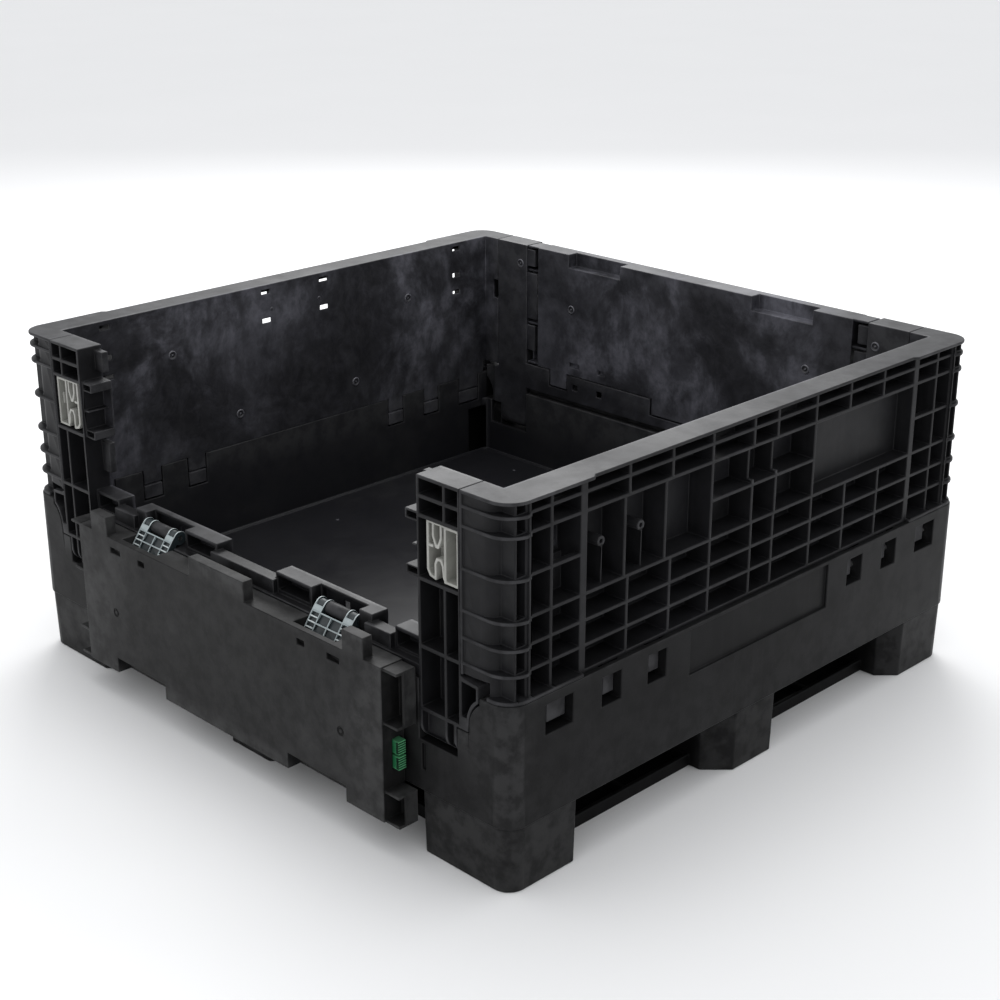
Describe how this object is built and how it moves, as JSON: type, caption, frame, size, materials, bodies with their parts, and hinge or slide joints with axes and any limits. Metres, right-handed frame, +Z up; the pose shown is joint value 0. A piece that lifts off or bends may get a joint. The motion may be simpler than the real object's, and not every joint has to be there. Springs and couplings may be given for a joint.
{
  "type": "collapsible bulk container",
  "caption": "Collapsible bulk container with ribbed folding walls, drop doors on double-hinge links in U-shaped end frames, spring latches and four-way forklift feet.",
  "frame": {"origin": "floor level at the middle of the base, on the underside of the centre foot", "axes": "+X along the front drop door's face, +Y from the open front towards the back, +Z up"},
  "size_m": [1.219, 1.1885, 0.606],
  "materials": {
    "black_foam": "moulded structural foam with flow marks",
    "grey_plastic": "satin moulded plastic",
    "link_grey": "satin moulded plastic with worn pale edges",
    "green_plastic": "satin moulded plastic",
    "steel": "zinc plated"
  },
  "bodies": {
    "base": {"base_tub": "black_foam", "base_feet": "black_foam", "feet_screws": "steel", "right_wall": "black_foam", "left_wall": "black_foam", "right_wall_hinge_rod": "steel", "left_wall_hinge_rod": "steel", "front_frame": "black_foam", "front_frame_pins": "steel", "back_frame_pins": "steel"},
    "front_links": {"front_link_left": "link_grey", "front_link_right": "link_grey", "front_sill_pins": "steel", "front_door_pins": "steel"},
    "front_door": {"front_door": "black_foam"},
    "front_bolt_right": {"door_bolt_front_right": "green_plastic"},
    "front_bolt_left": {"door_bolt_front_left": "green_plastic"},
    "front_latch_right": {"post_latch_front_right": "grey_plastic"},
    "front_latch_left": {"post_latch_front_left": "grey_plastic"},
    "back_frame": {"back_frame": "black_foam"},
    "back_links": {"back_link_left": "link_grey", "back_link_right": "link_grey", "back_sill_pins": "steel", "back_door_pins": "steel"},
    "back_door": {"back_door": "black_foam"},
    "back_bolt_right": {"door_bolt_back_right": "green_plastic"},
    "back_bolt_left": {"door_bolt_back_left": "green_plastic"},
    "back_latch_right": {"post_latch_back_right": "grey_plastic"},
    "back_latch_left": {"post_latch_back_left": "grey_plastic"}
  },
  "joints": [
    {"name": "back_frame_fold", "type": "hinge", "parent": "base", "child": "back_frame", "pos_m": [0, 0.54725, 0.218], "axis": [1, 0, 0], "range_deg": [0, 90]},
    {"name": "front_link_swing", "type": "hinge", "parent": "base", "child": "front_links", "pos_m": [0, -0.553, 0.325], "axis": [-1, 0, 0], "range_deg": [0, 137.92]},
    {"name": "front_door_tilt", "type": "hinge", "parent": "front_links", "child": "front_door", "pos_m": [0, -0.583, 0.2858], "axis": [-1, 0, 0], "range_deg": [0, 42.08]},
    {"name": "back_link_swing", "type": "hinge", "parent": "back_frame", "child": "back_links", "pos_m": [0, 0.553, 0.325], "axis": [1, 0, 0], "range_deg": [-137.92, 0]},
    {"name": "back_door_tilt", "type": "hinge", "parent": "back_links", "child": "back_door", "pos_m": [0, 0.557, 0.3742], "axis": [1, 0, 0], "range_deg": [-42.08, 0]},
    {"name": "front_latch_right_slide", "type": "slide", "parent": "base", "child": "front_latch_right", "axis": [-1, 0, 0], "range_m": [0, 0.012], "stiffness_N_per_m": 600},
    {"name": "back_latch_right_slide", "type": "slide", "parent": "back_frame", "child": "back_latch_right", "axis": [-1, 0, 0], "range_m": [0, 0.012], "stiffness_N_per_m": 600},
    {"name": "front_bolt_right_slide", "type": "slide", "parent": "front_door", "child": "front_bolt_right", "axis": [-1, 0, 0], "range_m": [0, 0.012], "stiffness_N_per_m": 500},
    {"name": "back_bolt_right_slide", "type": "slide", "parent": "back_door", "child": "back_bolt_right", "axis": [-1, 0, 0], "range_m": [0, 0.012], "stiffness_N_per_m": 500},
    {"name": "front_latch_left_slide", "type": "slide", "parent": "base", "child": "front_latch_left", "axis": [1, 0, 0], "range_m": [0, 0.012], "stiffness_N_per_m": 600},
    {"name": "back_latch_left_slide", "type": "slide", "parent": "back_frame", "child": "back_latch_left", "axis": [1, 0, 0], "range_m": [0, 0.012], "stiffness_N_per_m": 600},
    {"name": "front_bolt_left_slide", "type": "slide", "parent": "front_door", "child": "front_bolt_left", "axis": [1, 0, 0], "range_m": [0, 0.012], "stiffness_N_per_m": 500},
    {"name": "back_bolt_left_slide", "type": "slide", "parent": "back_door", "child": "back_bolt_left", "axis": [1, 0, 0], "range_m": [0, 0.012], "stiffness_N_per_m": 500}
  ],
  "couplings": [
    {"joint": "front_door_tilt", "follows": "front_link_swing", "ratio": 0.3051},
    {"joint": "back_door_tilt", "follows": "back_link_swing", "ratio": 0.3051}
  ]
}
